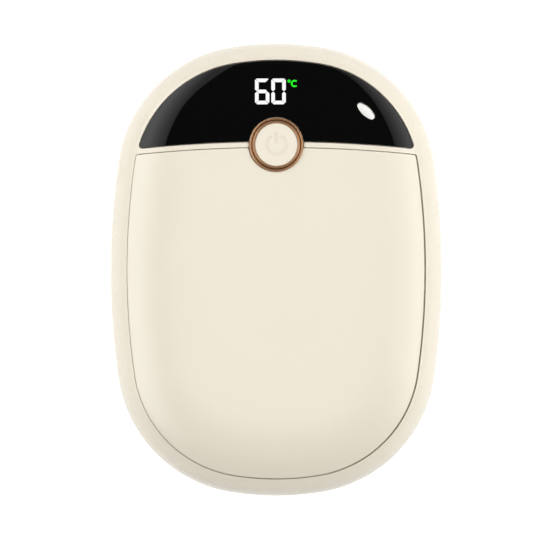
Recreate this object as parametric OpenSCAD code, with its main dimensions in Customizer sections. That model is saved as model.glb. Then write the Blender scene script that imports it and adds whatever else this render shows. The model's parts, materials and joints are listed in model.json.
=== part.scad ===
// Rechargeable hand warmer: a pebble-shaped housing in two halves, with an inset heat plate on
// each face, a dark display window, and a push button inside a metal ring.
// It lies on its back: X across, Y towards the display end, Z out of the front face.
// The origin is under the middle of the body, on the face that it rests on.
// All lengths are in millimetres.

/* [Housing] */
// Width of the body across the middle
body_w = 73.36; // [71:0.02:77]
// Length of the body from end to end
body_l = 100.08; // [98:0.02:105]
// Thickness of the body, rear to front
body_t = 27; // [26:0.5:30]
// Radius of the two long side curves of the outline
side_r = 167.9; // [155:0.1:190]
// Radius of the two end curves of the outline
end_r = 61.9; // [59:0.1:66]
// Radius of the four corner curves of the outline
corner_r = 30; // [28.5:0.5:31.5]
// Radius of the shoulder between the side and the face
shoulder_r = 8; // [7.5:0.25:8.75]
// Radius of the crown between the shoulder and the flat of the face
crown_r = 23; // [22:0.5:25]
// Wall of both shells
wall_t = 2.3; // [2.2:0.05:2.6]
// Height of the lip that locates the two shells
lip_h = 1.2; // [0.8:0.1:1.6]
// Thickness of that lip
lip_t = 0.9; // [0.7:0.05:1.1]
// Clearance round the lip
lip_gap = 0.1; // [0.05:0.01:0.15]
// Bevel on the outer edge of each shell at the seam
seam_bevel = 0.2; // [0.1:0.05:0.4]

/* [Panels] */
// Distance from the outline to the joint line round the plates and the window
panel_inset = 3.75; // [3.5:0.05:4.2]
// Width of that joint line
panel_gap = 0.2; // [0.15:0.05:0.3]
// Thickness of the heat plates and the window
panel_t = 1; // [0.8:0.05:1.05]
// Thickness of the adhesive tape under them
tape_t = 0.15; // [0.1:0.01:0.2]
// Distance from the display end to the lower edge of the window, on the centre line
window_h = 21.6; // [21:0.1:22.2]
// Width of the shell's bar between the window and the front plate
bar_w = 1.3; // [1.1:0.1:1.8]
// Radius of the window's curved lower edge
bar_r = 304; // [260:1:400]

/* [Button] */
// Outer diameter of the metal ring
ring_d = 12; // [11.6:0.1:12.4]
// Height of the ring above the face
ring_proud = 0.45; // [0.3:0.05:0.7]
// Diameter of the button cap
cap_d = 9.4; // [9:0.1:9.5]
// Running clearance between the cap and the ring, on the radius
cap_gap = 0.1; // [0.06:0.01:0.1]
// Height of the cap above the face
cap_proud = 0.15; // [0:0.05:0.25]
// Travel of the button
travel = 0.4; // [0.25:0.05:0.5]
// Distance from the window's lower edge down to the button's centre
button_drop = 0.85; // [0.6:0.05:1.1]

/* [Display] */
// Width of the display module
display_w = 14.4; // [13.5:0.1:14.6]
// Length of the display module
display_l = 9.8; // [9.4:0.1:10]
// Distance from the display end to the centre of the display module
display_inset = 10.7; // [10.5:0.1:10.9]
// Wall of the foam shroud between the module and the window
shroud_t = 1; // [0.8:0.1:1.4]

/* [Lanyard hole] */
// Length of the hole along the outline
hole_l = 4.8; // [4.4:0.1:5.2]
// Width of the hole
hole_w = 2.1; // [1.9:0.1:2.4]
// Radius of the rounded ends of the hole
hole_end_r = 0.7; // [0.6:0.05:0.8]
// Distance from the outline to the centre of the hole
hole_inset = 8.8; // [8.6:0.1:9.2]
// Place of the hole round the corner curve, as an angle from the X axis
hole_turn = 46.7; // [45:0.1:48]
// Wall of the tube that lines the hole
tube_t = 1; // [0.8:0.1:1.1]

/* [Charging port] */
// Width of the socket's metal shell
usb_w = 8.94; // [8.9:0.01:9]
// Height of the socket's metal shell
usb_h = 3.26; // [3.2:0.01:3.3]
// Length of the socket
usb_l = 7.35; // [6.8:0.05:7.8]
// Depth of the socket's mouth behind the end of the body
usb_recess = 0.45; // [0.3:0.05:0.7]
// Clearance between the socket and the shells
usb_gap = 0.2; // [0.15:0.05:0.3]

/* [Board] */
// Thickness of the main board
board_t = 1.2; // [1:0.1:1.3]
// Clearance between the board and what it lies beside
board_gap = 0.4; // [0.3:0.05:0.6]
// Width of the tactile switch's square body
switch_w = 6; // [5.8:0.1:6.2]
// Height of the tactile switch's body
switch_h = 3.5; // [3.2:0.1:3.6]
// Distance of each board screw from the centre line
board_screw_x = 15; // [14:0.5:16]

/* [Battery] */
// Width of each cell
cell_w = 48; // [46:0.5:48.5]
// Length of each cell
cell_l = 46; // [44:0.5:46.5]
// Thickness of each cell
cell_t = 8; // [7.5:0.1:8.1]
// Thickness of the tape between the two cells
cell_gap = 0.3; // [0.2:0.05:0.4]
// Distance from the charging end of the battery bay to the body's middle
bay_reach = 33; // [32.5:0.1:33.5]
// Wall of the frame round the cells
frame_t = 1.2; // [1:0.1:1.4]
// Height of that frame
frame_h = 10; // [8:0.5:11]
// Clearance between the cells and the frame
cell_room = 0.3; // [0.2:0.05:0.4]

/* [Heaters] */
// Width of each heater film
film_w = 36.4; // [34:0.1:38]
// Length of each heater film
film_l = 46; // [43:0.5:47]
// Thickness of each heater film
film_t = 0.25; // [0.2:0.01:0.3]
// Margin between the film and the pad behind it
pad_margin = 0.5; // [0.3:0.1:1.5]
// Margin between the film and the opening in the shell
film_margin = 1.5; // [1:0.1:2]

/* [Fastening] */
// Diameter of the shell screws
screw_d = 2.2; // [2:0.1:2.3]
// Length of the shell screws under the head
screw_l = 10; // [9:0.5:10.5]
// Diameter of a screw head
head_d = 3.8; // [3.4:0.1:4]
// Height of a screw head
head_h = 1.5; // [1.2:0.1:1.6]
// Diameter of the screw bosses
boss_d = 6; // [5.6:0.1:6.2]
// Distance from the outline, at the middle of the body, to the screws
screw_inset = 6.9; // [6.8:0.05:7.1]
// Distance of the two upper screws above the body's middle
screw_up = 10; // [8:0.5:12]
// Distance of the two lower screws below the body's middle
screw_down = 15; // [12:0.5:16]

/* [Hidden] */
$fn = 120;

// One overrun serves every cut
over = 1;
// Half sizes of the body
half_w = body_w / 2;
half_l = body_l / 2;
half_t = body_t / 2;

// The outline is eight tangent arcs: two sides, two ends and four equal corners.
// A corner's centre lies at a known distance from the side's centre and the end's centre.
side_x = half_w - side_r;
end_y = half_l - end_r;
span = norm([side_x, end_y]);
toward = [-side_x, end_y] / span;
side_reach = side_r - corner_r;
end_reach = end_r - corner_r;
along = (side_reach * side_reach - end_reach * end_reach + span * span) / (2 * span);
aside = sqrt(side_reach * side_reach - along * along);
corner = [side_x, 0] + along * toward + aside * [-toward[1], toward[0]];
side_half = atan2(corner[1], corner[0] - side_x);
end_half = atan2(corner[0], corner[1] - end_y);

// Each arc is its centre, radius, first angle and last angle, from the right side round to the left
arcs = [
  [[side_x, 0], side_r, -side_half, side_half],
  [corner, corner_r, side_half, 90 - end_half],
  [[0, end_y], end_r, 90 - end_half, 90 + end_half],
  [[-corner[0], corner[1]], corner_r, 90 + end_half, 180 - side_half],
  [[-side_x, 0], side_r, 180 - side_half, 180 + side_half],
  [-corner, corner_r, 180 + side_half, 270 - end_half],
  [[0, -end_y], end_r, 270 - end_half, 270 + end_half],
  [[corner[0], -corner[1]], corner_r, 270 + end_half, 360 - side_half]
];
arc_count = len(arcs);
all_arcs = [0 : arc_count - 1];
display_arcs = [1, 2, 3];
tape_arcs = [1, 3];
lower_arcs = [4, 5, 6, 7, 0];
plate_arcs = [0, 1, 3, 4, 5, 6, 7];

// The section across the edge: x is the inset from the outline, y the height above the seam.
// A straight rim, a shoulder arc and a crown arc run into the flat of the face.
// The arcs meet where the skin's normal, in shares of its length, is that of a 3-4-5 triangle.
turn_shares = [-0.6, 0.8];
crown_step = crown_r - shoulder_r;
flat_d = shoulder_r - crown_step * turn_shares[0];
rim_h = half_t - shoulder_r - crown_step * (1 - turn_shares[1]);
shoulder_c = [shoulder_r, rim_h];
crown_c = [flat_d, half_t - crown_r];
// The swept ring reaches past the start of the flat, and a plain slab fills the middle
ring_reach = (flat_d + corner_r) / 2;
middle_share = 0.1;
middle_d = flat_d + middle_share * (ring_reach - flat_d);

// Depth of the pockets for the panels, and the middle of the floor under them
pocket_t = panel_t + tape_t;
seat_t = (pocket_t + wall_t) / 2;

// The bar between the window and the plate follows a large arc
window_y = half_l - window_h;
bar_c = [0, window_y - bar_r];
plate_r = bar_r - bar_w;

// The button and its ring
button_y = window_y - button_drop;
bore_r = cap_d / 2 + cap_gap;
sleeve_t = 0.7;
sleeve_r = bore_r + sleeve_t;
sleeve_h = 2.9;
sleeve_room = 0.1;
hub_t = 1.2;
hub_r = sleeve_r + sleeve_room + hub_t;
bead_r = 0.27;
groove_h = 0.15;
flange_room = 0.3;
flange_t = 1;
flange_side_room = 0.35;
flange_r = sleeve_r + sleeve_room - flange_side_room;
flange_top = half_t - sleeve_h - flange_room;
flange_low = flange_top - flange_t;
hub_low = flange_low - travel - flange_room;
cap_wall = 1;
cap_edge = 0.35;
cap_top = half_t + cap_proud;
post_r = 1.5;

// The board stack, up from the charging socket on the seam
board_low = usb_h / 2;
board_top = board_low + board_t;
stem_r = 1.75;
stem_h = 1.5;
stem_room = 0.1;
stem_top = board_top + switch_h + stem_h;
stem_in_share = 0.3;
stem_low = board_top + switch_h * (1 - stem_in_share);

// The display module stands as high as the window above its far corners lets it
display_room = 0.3;
display_y = half_l - display_inset;
display_corner = [display_w / 2, display_y + display_l / 2];
display_d = end_r - norm(display_corner - [0, end_y]);
display_top = skin_z(display_d, panel_t) - display_room;

// The lanyard hole is an oval of four tangent arcs
hole_c = hole_l / 2 - hole_end_r;
hole_h = hole_w / 2;
hole_side_r = (hole_c * hole_c + hole_h * hole_h - hole_end_r * hole_end_r) / (2 * (hole_h - hole_end_r));
hole_side_y = hole_side_r - hole_h;
hole_split = atan2(hole_side_y, hole_c);
hole_arcs = [
  [[hole_c, 0], hole_end_r, -hole_split, hole_split],
  [[0, -hole_side_y], hole_side_r, hole_split, 180 - hole_split],
  [[-hole_c, 0], hole_end_r, 180 - hole_split, 180 + hole_split],
  [[0, hole_side_y], hole_side_r, 180 + hole_split, 360 - hole_split]
];
hole_at = corner + (corner_r - hole_inset) * dir(hole_turn);
hole_room = 0.15;

// The battery bay
protection_l = 3.2;
protection_w = 40;
protection_t = 1;
terrace_l = protection_l + 2 * cell_room;
bay_w = cell_w + 2 * cell_room;
bay_l = cell_l + terrace_l + cell_room;
bay_low = -bay_reach;
bay_top = bay_low + bay_l;
cell_low = bay_low + cell_room;
cell_end = cell_low + cell_l;
cell_z = cell_gap / 2;
stack_h = cell_z + cell_t;
frame_top = bay_top + frame_t;
frame_corner = 2;
cell_corner = 1.5;

// The leads rise in a narrow space between the frame and the board's lower edge
lead_room = 1.1;
lead_y = frame_top + lead_room / 2;
board_edge = frame_top + lead_room;

// The heater films lie flat, as high as the plates' crown lets their lower corners lie
film_end = frame_top - board_gap;
film_low = film_end - film_l;
film_y = film_end - film_l / 2;
film_corner = 8;
film_bend = [film_w / 2 - film_corner, film_low + film_corner];
film_d = corner_r - film_corner - norm(film_bend - [corner[0], -corner[1]]);
film_z = skin_z(film_d, panel_t);
opening_low = film_low - film_margin;
opening_top = board_edge + board_gap;
opening_w = film_w + 2 * film_margin;
tail_w = 6;
tail_x = 7;
tail_foot = 3;
pad_end = cell_end - pad_margin;
pad_low = film_low + pad_margin;

// Fastening
ear_t = 1.6;
screw_bite = 4.4;
thread_room = 0.02;
screw_room = 0.15;
bore_room = 0.8;
seat_z = screw_l - screw_bite - ear_t / 2;
screw_x = half_w - screw_inset;
screw_places = [for (x = [-screw_x, screw_x], y = [screw_up, -screw_down]) [x, y]];
board_screw_d = 2;
board_screw_l = 5;
board_head_d = 3.6;
board_head_h = 1.2;
board_post_d = 4.4;
board_screw_in = 3.9;
board_screw_y = board_edge + board_screw_in;
recess_share = 0.55;
recess_w_share = 0.16;

// Parts on the board: their sizes, and their places as shares of the board's half width and length
controller_size = [5, 5, 0.9];
controller_shares = [-0.42, 0.5];
charger_size = [4.9, 3.9, 1.55];
charger_shares = [0.3, 0.5];
inductor_shares = [-0.36, 0.52];
capacitor_size = [3.2, 1.6, 1.6];
lower_capacitor_shares = [[-0.08, 0.42], [0.08, 0.42], [0.3, 0.26]];
upper_capacitor_shares = [[-0.6, 0.34], [0.34, 0.3]];
inductor_w = 7;
inductor_h = 3;
connector_w = 6;
connector_l = 5;
connector_h = 4;

// Battery leads, from the protection board to the connector
lead_r = 0.6;
lead_x = -9;
lead_pitch = 2;
lead_z = board_low - connector_h / 2;

// Thermistor beads
bead_d = 1.6;
bead_l = 3.5;
bead_x = -2.7;

// Widths and margins of the tapes
tape_margin = 0.5;
plate_tape_w = 4.5;
window_tape_w = 2;

// Unit vector at an angle
function dir(a) = [cos(a), sin(a)];

// Height above the seam of the skin lowered by t, at an inset d on the crown or the flat
function skin_z(d, t) =
  crown_c[1] + sqrt(pow(crown_r - t, 2) - pow(max(0, flat_d - d), 2));

// Point at an inset d where arc i of the outline starts
function joint(i, d) =
  let (c = i % 2 == 1 ? i : (i + arc_count - 1) % arc_count)
  arcs[c][0] + (corner_r - d) * dir(i % 2 == 1 ? arcs[c][2] : arcs[c][3]);

// A closed outline of tangent arcs round the origin, drawn in by d: a polygon through the points
// where the arcs meet, and the segment of each arc outside it
module arc_outline(list, d) {
  out_share = 1.5;
  polygon([for (a = list) a[0] + (a[1] - d) * dir(a[2])]);
  for (a = list)
    let (
      r = a[1] - d,
      turns = [a[2], (a[2] + a[3]) / 2, a[3]],
      rim = [for (turn = turns) a[0] + r * dir(turn)]
    )
    intersection() {
      translate(a[0]) circle(r);
      polygon([rim[0], out_share * rim[0], out_share * rim[1], out_share * rim[2], rim[2]]);
    }
}

// Area of the section under the skin lowered by t, from a height up and out to an inset
module skin_area(t, low, reach) {
  far = 2 * crown_r;
  translate([t, low]) square([reach - t, rim_h - low]);
  intersection() {
    translate(shoulder_c) circle(shoulder_r - t);
    polygon([shoulder_c, shoulder_c - [far, 0], shoulder_c + far * turn_shares]);
  }
  intersection() {
    translate(crown_c) circle(crown_r - t);
    polygon([shoulder_c, shoulder_c + far * turn_shares, [flat_d, half_t + far], [flat_d, rim_h]]);
  }
  translate([flat_d, low]) square([reach - flat_d, half_t - t - low]);
}

// Area of the section between the skins lowered by t_out and t_in, from an inset inwards
module layer_area(t_out, t_in, from, to) {
  intersection() {
    difference() {
      skin_area(t_out, 0, ring_reach);
      skin_area(t_in, -over, ring_reach + over);
    }
    translate([from, 0]) square([to - from, body_t]);
  }
}

// Plan of the ring that one arc of the outline sweeps, with its inner edge along the middle
function ring_plan(i) =
  let (
    a = arcs[i],
    peak = a[0] + (a[1] + over) / cos((a[3] - a[2]) / 2) * dir((a[2] + a[3]) / 2)
  )
  [joint(i, middle_d), joint(i, -over), peak, joint(i + 1, -over), joint(i + 1, middle_d)];

// The section in children is swept along arcs of the outline
module swept(which) {
  for (i = which)
    intersection() {
      translate(arcs[i][0]) rotate_extrude() translate([arcs[i][1], 0]) mirror([1, 0]) children();
      translate([0, 0, -body_t]) linear_extrude(2 * body_t) polygon(ring_plan(i));
    }
}

// Flat middle of the face between two heights
module middle(low, high) {
  translate([0, 0, low])
    linear_extrude(high - low)
      polygon([for (i = all_arcs) joint(i, middle_d)]);
}

// A layer that follows the whole face, between the skins lowered by t_out and t_in
module face_layer(t_out, t_in, from, which) {
  swept(which) layer_area(t_out, t_in, from, ring_reach);
  middle(half_t - t_in, half_t - t_out);
}

// An upright prism through the whole body, with the outline in children
module through() {
  translate([0, 0, -body_t])
    linear_extrude(2 * body_t)
      children();
}

// The disc whose edge is the curved lower edge of the window or the top edge of a plate
module bar_disc(r) {
  translate(bar_c) circle(r, $fn = 720);
}

module lanyard_outline(grow) {
  translate(hole_at) rotate(hole_turn - 90) arc_outline(hole_arcs, -grow);
}

module rounded(w, l, r) {
  square([w - 2 * r, l], center = true);
  square([w, l - 2 * r], center = true);
  for (x = [-1, 1], y = [-1, 1])
    translate([x * (w / 2 - r), y * (l / 2 - r)]) circle(r);
}

module usb_outline(grow) {
  w = usb_w + 2 * grow;
  h = usb_h + 2 * grow;
  square([w - h, h], center = true);
  for (x = [-1, 1])
    translate([x * (w - h) / 2, 0]) circle(h / 2);
}

// The outline in children stands across the body at the display end, from y up to an end
module along_y(from, to) {
  translate([0, to, 0])
    rotate([90, 0, 0])
      linear_extrude(to - from)
        children();
}

// Everything is drawn about the seam, and raised so that the rear face lies at zero
module front_half() {
  translate([0, 0, half_t]) children();
}

module rear_half() {
  translate([0, 0, half_t]) mirror([0, 0, 1]) children();
}

// Section of either shell: a wall with a bevel at the seam
module wall_area() {
  difference() {
    skin_area(0, 0, ring_reach);
    skin_area(wall_t, -over, ring_reach + over);
    polygon([[-over, seam_bevel + over], [-over, -over], [seam_bevel + over, -over]]);
  }
}

// Screw posts, cut off inside the floor of the pocket above them
module screw_posts() {
  for (side = [0, 4])
    intersection() {
      for (p = screw_places)
        if (p[0] * (side == 0 ? 1 : -1) > 0)
          translate([p[0], p[1], ear_t / 2]) cylinder(d = boss_d, h = body_t);
      swept([side]) skin_area(seat_t, 0, ring_reach);
    }
}

// Opening in the floor behind a heat plate
module plate_opening() {
  translate([0, 0, lip_h + over])
    linear_extrude(body_t)
      translate([0, (opening_top + opening_low) / 2])
        rounded(opening_w, opening_top - opening_low, film_corner);
}

module front_shell() {
  color("antiquewhite") front_half() difference() {
    union() {
      swept(all_arcs) difference() {
        wall_area();
        translate([wall_t - lip_t - lip_gap, -over])
          square([lip_t + lip_gap + over, lip_h + lip_gap + over]);
      }
      middle(half_t - wall_t, half_t);
      screw_posts();
      for (x = [-board_screw_x, board_screw_x])
        translate([x, board_screw_y, board_top])
          cylinder(d = board_post_d, h = half_t - seat_t - board_top);
      translate([0, button_y, hub_low])
        cylinder(r = hub_r, h = half_t - seat_t - hub_low);
    }
    difference() {
      face_layer(-over, pocket_t, panel_inset - panel_gap / 2, all_arcs);
      through() difference() {
        bar_disc(bar_r - panel_gap / 2);
        bar_disc(plate_r + panel_gap / 2);
      }
    }
    plate_opening();
    translate([0, button_y, half_t - pocket_t])
      cylinder(r = ring_d / 2 + panel_gap / 2, h = body_t);
    translate([0, button_y, hub_low - over])
      cylinder(r = sleeve_r + sleeve_room, h = body_t);
    translate([0, display_y, board_top])
      linear_extrude(body_t)
        square([display_w + 2 * board_gap, display_l + 2 * board_gap], center = true);
    through() lanyard_outline(tube_t + hole_room);
    along_y(half_l - usb_l - usb_recess, half_l + over) usb_outline(usb_gap);
    for (p = screw_places)
      translate([p[0], p[1], 0])
        cylinder(r = screw_d / 2 + thread_room, h = ear_t / 2 + screw_bite + bore_room);
    for (x = [-board_screw_x, board_screw_x])
      translate([x, board_screw_y, board_top - over])
        cylinder(r = board_screw_d / 2 + thread_room, h = board_screw_l - board_t + bore_room + over);
  }
}

module rear_shell() {
  color("antiquewhite") difference() {
    union() {
      rear_half() {
        swept(all_arcs) {
          wall_area();
          translate([wall_t - lip_t, -lip_h]) square([lip_t, 2 * lip_h]);
        }
        middle(half_t - wall_t, half_t);
        screw_posts();
      }
      front_half() intersection() {
        through() lanyard_outline(tube_t);
        swept([1]) {
          skin_area(pocket_t, 0, ring_reach);
          mirror([0, 1]) skin_area(seat_t, 0, ring_reach);
        }
      }
    }
    rear_half() {
      intersection() {
        face_layer(-over, pocket_t, panel_inset - panel_gap / 2, plate_arcs);
        through() bar_disc(plate_r + panel_gap / 2);
      }
      plate_opening();
      for (p = screw_places) {
        translate([p[0], p[1], 0]) cylinder(r = screw_d / 2 + screw_room, h = body_t);
        translate([p[0], p[1], seat_z]) cylinder(r = head_d / 2 + screw_room, h = body_t);
      }
      along_y(half_l - usb_l - usb_recess, half_l + over) usb_outline(usb_gap);
    }
    through() lanyard_outline(0);
  }
}

// A heat plate: the face inside the joint line, up to the bar
module heat_plate() {
  intersection() {
    face_layer(0, panel_t, panel_inset + panel_gap / 2, plate_arcs);
    through() bar_disc(plate_r - panel_gap / 2);
  }
}

module front_heat_plate() {
  color("antiquewhite") front_half() difference() {
    heat_plate();
    translate([0, button_y, 0]) cylinder(r = (ring_d + panel_gap) / 2, h = body_t);
  }
}

module rear_heat_plate() {
  color("antiquewhite") rear_half() heat_plate();
}

module display_window() {
  color([0.04, 0.04, 0.04]) front_half() difference() {
    face_layer(0, panel_t, panel_inset + panel_gap / 2, display_arcs);
    through() bar_disc(bar_r + panel_gap / 2);
    translate([0, button_y, 0]) cylinder(r = (ring_d + panel_gap) / 2, h = body_t);
    through() lanyard_outline(0);
  }
}

// The ring's section: a sleeve, a flange on the floor, and two beads with a groove between them
module button_ring() {
  outer = ring_d / 2;
  top = ring_proud - bead_r;
  color("peru") front_half() translate([0, button_y, half_t]) rotate_extrude() {
    translate([bore_r, -sleeve_h]) square([sleeve_r - bore_r, sleeve_h]);
    translate([bore_r, -pocket_t]) square([outer - bore_r, pocket_t + groove_h]);
    for (r = [bore_r + bead_r, outer - bead_r]) {
      translate([r - bead_r, 0]) square([2 * bead_r, top]);
      translate([r, top]) circle(bead_r);
    }
  }
}

// The cap: a hollow button with a rounded edge, a retaining flange and a post over the switch
module power_button() {
  r = cap_d / 2;
  inner_r = r - cap_wall;
  color("antiquewhite") front_half() translate([0, button_y, 0]) rotate_extrude() {
    translate([0, stem_top]) square([post_r, cap_top - stem_top]);
    translate([0, cap_top - cap_wall]) square([r - cap_edge, cap_wall]);
    translate([inner_r, flange_low]) square([cap_wall, cap_top - cap_edge - flange_low]);
    translate([inner_r, flange_low]) square([flange_r - inner_r, flange_t]);
    translate([r - cap_edge, cap_top - cap_edge]) circle(cap_edge);
  }
}

module switch_stem() {
  color("dimgray") front_half() translate([0, button_y, stem_low])
    cylinder(r = stem_r, h = stem_top - stem_low);
}

// The switch's body, with a well for its stem and four solder feet
module switch_body() {
  foot_w = switch_w / 8;
  foot_l = switch_w / 5;
  foot_t = switch_h / 12;
  color("silver") front_half() translate([0, button_y, board_top]) difference() {
    union() {
      linear_extrude(foot_t) {
        square(switch_w, center = true);
        for (y = [-1, 1])
          translate([0, y * switch_w / 3]) square([switch_w + 2 * foot_l, foot_w], center = true);
      }
      translate([-switch_w / 2, -switch_w / 2, foot_t]) cube([switch_w, switch_w, switch_h - foot_t]);
    }
    translate([0, 0, stem_low - board_top - travel - stem_room])
      cylinder(r = stem_r + stem_room, h = switch_h);
  }
}

// The module: a block with a shallow well in its face for each of its two figures
module display_module() {
  well_h = display_l / 20;
  well_w = display_w / 3;
  well_l_share = 0.7;
  color([0.1, 0.1, 0.11]) front_half() translate([0, display_y, 0]) difference() {
    translate([-display_w / 2, -display_l / 2, board_top])
      cube([display_w, display_l, display_top - board_top]);
    for (x = [-1, 1])
      translate([x * display_w / 4, 0, display_top])
        cube([well_w, display_l * well_l_share, 2 * well_h], center = true);
  }
}

module display_shroud() {
  color([0.15, 0.15, 0.15]) front_half() intersection() {
    translate([0, display_y, display_top])
      linear_extrude(body_t)
        difference() {
          square([display_w, display_l], center = true);
          square([display_w - 2 * shroud_t, display_l - 2 * shroud_t], center = true);
        }
    swept([2]) skin_area(panel_t, 0, ring_reach);
  }
}

module main_board() {
  color("seagreen") front_half() translate([0, 0, board_low]) difference() {
    linear_extrude(board_t) difference() {
      intersection() {
        arc_outline(arcs, wall_t + board_gap);
        translate([-half_w, board_edge]) square([body_w, half_l]);
      }
      lanyard_outline(tube_t + board_gap);
    }
    for (x = [-board_screw_x, board_screw_x])
      translate([x, board_screw_y, -over])
        cylinder(r = board_screw_d / 2 + screw_room, h = board_t + 2 * over);
  }
}

// The socket: a stainless shell, open at the mouth, with the contact tongue inside
module usb_c_socket() {
  shell_t = usb_h / 11;
  mouth_y = half_l - usb_recess;
  tongue_shares = [0.75, 0.75, 0.22];
  tongue = [usb_w * tongue_shares[0], usb_l * tongue_shares[1], usb_h * tongue_shares[2]];
  back_share = 0.15;
  root_y = mouth_y - usb_l * (1 - back_share);
  color("silver") front_half() {
    difference() {
      along_y(mouth_y - usb_l, mouth_y) usb_outline(0);
      along_y(root_y, mouth_y + over) usb_outline(-shell_t);
    }
    translate([-tongue[0] / 2, root_y - shell_t, -tongue[2] / 2])
      cube(tongue);
  }
}

// A place on the board, from shares of its half width and of its length above its edge
function on_board(shares) =
  [shares[0] * (half_w - wall_t), board_edge + shares[1] * (half_l - wall_t - board_edge)];

module chip(at, size, up) {
  translate([at[0] - size[0] / 2, at[1] - size[1] / 2, up ? board_top : board_low - size[2]])
    cube(size);
}

// The controller above the board and the charging chip below it
module controller_chips() {
  color([0.12, 0.12, 0.13]) front_half() {
    chip(on_board(controller_shares), controller_size, true);
    chip(on_board(charger_shares), charger_size, false);
  }
}

// A round ferrite coil on a square base
module power_inductor() {
  at = on_board(inductor_shares);
  base_h = inductor_h / 4;
  coil_share = 0.9;
  color([0.3, 0.3, 0.32]) front_half() translate([at[0], at[1], board_low - base_h]) {
    translate([-inductor_w / 2, -inductor_w / 2, 0]) cube([inductor_w, inductor_w, base_h]);
    translate([0, 0, base_h - inductor_h]) cylinder(d = inductor_w * coil_share, h = inductor_h);
  }
}

module capacitors() {
  color("tan") front_half() {
    for (shares = lower_capacitor_shares)
      chip(on_board(shares), capacitor_size, false);
    for (shares = upper_capacitor_shares)
      chip(on_board(shares), capacitor_size, true);
  }
}

// The white socket under the board that the battery leads plug into
module battery_connector() {
  color("ivory") front_half()
    translate([lead_x - connector_w / 2, board_edge + board_gap, board_low - connector_h])
      difference() {
        cube([connector_w, connector_l, connector_h]);
        translate([connector_w / 6, -over, connector_h / 6])
          cube([connector_w * 2 / 3, connector_l / 2 + over, connector_h * 2 / 3]);
      }
}

// The two pouch cells, one over the other, with a strip of tape between them left as a gap
module battery_cells() {
  color("lightsteelblue") front_half()
    for (low = [cell_z, -cell_z - cell_t])
      translate([0, cell_low + cell_l / 2, low])
        linear_extrude(cell_t) rounded(cell_w, cell_l, cell_corner);
}

// The strip across the end of the cells, with its two switching chips
module protection_board() {
  chip_shares = [-0.2, 0.1];
  color("darkgreen") front_half() {
    translate([-protection_w / 2, cell_end + cell_room, -protection_t / 2])
      cube([protection_w, protection_l, protection_t]);
    for (share = chip_shares)
      translate([share * protection_w, cell_end + cell_room + protection_l / 4, protection_t / 2])
        cube([protection_l, protection_l / 2, protection_t]);
  }
}

// Four nickel tabs, each bent from the end of a cell down to the protection board
module cell_tabs() {
  tab_w = cell_w / 10;
  tab_t = cell_room / 2;
  rise_share = 0.45;
  rise = cell_t * rise_share;
  run = cell_room + protection_l / 2;
  tab_shares = [-0.34, 0.34];
  color("gainsboro") front_half()
    for (share = tab_shares, z = [0, 1])
      mirror([0, 0, z]) translate([share * cell_w - tab_w / 2, cell_end, protection_t / 2]) {
        translate([0, 0, rise]) cube([tab_w, run, tab_t]);
        translate([0, run - tab_t, 0]) cube([tab_w, tab_t, rise + tab_t / 2]);
      }
}

// The frame round the cells: a band with four ears, clamped between the screw posts
module inner_frame() {
  notch_w = connector_w;
  notch_h = 4 * lead_r;
  color("whitesmoke") front_half() difference() {
    union() {
      translate([0, (bay_top + bay_low) / 2, -frame_h / 2]) linear_extrude(frame_h)
        rounded(bay_w + 2 * frame_t, bay_l + 2 * frame_t, frame_corner + frame_t);
      for (p = screw_places)
        translate([p[0], p[1], -ear_t / 2]) {
          cylinder(d = boss_d, h = ear_t);
          translate([p[0] > 0 ? -p[0] + bay_w / 2 : 0, -boss_d / 2, 0])
            cube([screw_x - bay_w / 2, boss_d, ear_t]);
        }
    }
    translate([0, (bay_top + bay_low) / 2, -frame_h]) linear_extrude(2 * frame_h)
      rounded(bay_w, bay_l, frame_corner);
    for (p = screw_places)
      translate([p[0], p[1], -ear_t]) cylinder(r = screw_d / 2 + screw_room, h = 2 * ear_t);
    translate([lead_x - notch_w / 2, bay_top - frame_t, lead_z - notch_h / 2])
      cube([notch_w, 3 * frame_t, notch_h]);
  }
}

// Foam that presses each film to its plate and keeps the heat from the cells
module insulation_pads() {
  color("lightgray") front_half()
    for (side = [0, 1])
      mirror([0, 0, side]) translate([0, (pad_end + pad_low) / 2, stack_h])
        linear_extrude(film_z - film_t - stack_h)
          rounded(film_w - 2 * pad_margin, pad_end - pad_low, film_corner);
}

// A film with its flat tail, which runs to the board and ends in a foot on the given height
module heater_film(foot_z) {
  color("orange") {
    translate([0, film_y, film_z - film_t])
      linear_extrude(film_t) rounded(film_w, film_l, film_corner);
    translate([tail_x - tail_w / 2, film_end - film_corner, film_z - film_t])
      cube([tail_w, lead_y - film_end + film_corner + film_t, film_t]);
    translate([tail_x - tail_w / 2, lead_y, foot_z])
      cube([tail_w, film_t, film_z - foot_z]);
    translate([tail_x - tail_w / 2, lead_y, foot_z])
      cube([tail_w, tail_foot, film_t]);
  }
}

module front_heater_film() {
  front_half() heater_film(board_top);
}

module rear_heater_film() {
  rear_half() heater_film(-board_low);
}

// A glass bead under each film, on a flat twin lead that runs to the board
module thermistors() {
  top = film_z - film_t;
  bead_y = film_end - 2 * bead_d;
  lead_t = bead_d / 3;
  color("firebrick") front_half()
    for (side = [0, 1])
      mirror([0, 0, side]) let (foot_z = side == 0 ? board_top : -board_low) {
        translate([bead_x - bead_l / 2, bead_y, top - bead_d / 2])
          rotate([0, 90, 0]) cylinder(d = bead_d, h = bead_l);
        translate([bead_x - bead_l / 4, bead_y, top - bead_d / 2 - lead_t / 2])
          cube([bead_l / 2, lead_y - bead_y + lead_t, lead_t]);
        translate([bead_x - bead_l / 4, lead_y, foot_z])
          cube([bead_l / 2, lead_t, top - bead_d / 2 - foot_z]);
        translate([bead_x - bead_l / 4, lead_y, foot_z])
          cube([bead_l / 2, tail_foot, lead_t]);
      }
}

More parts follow.
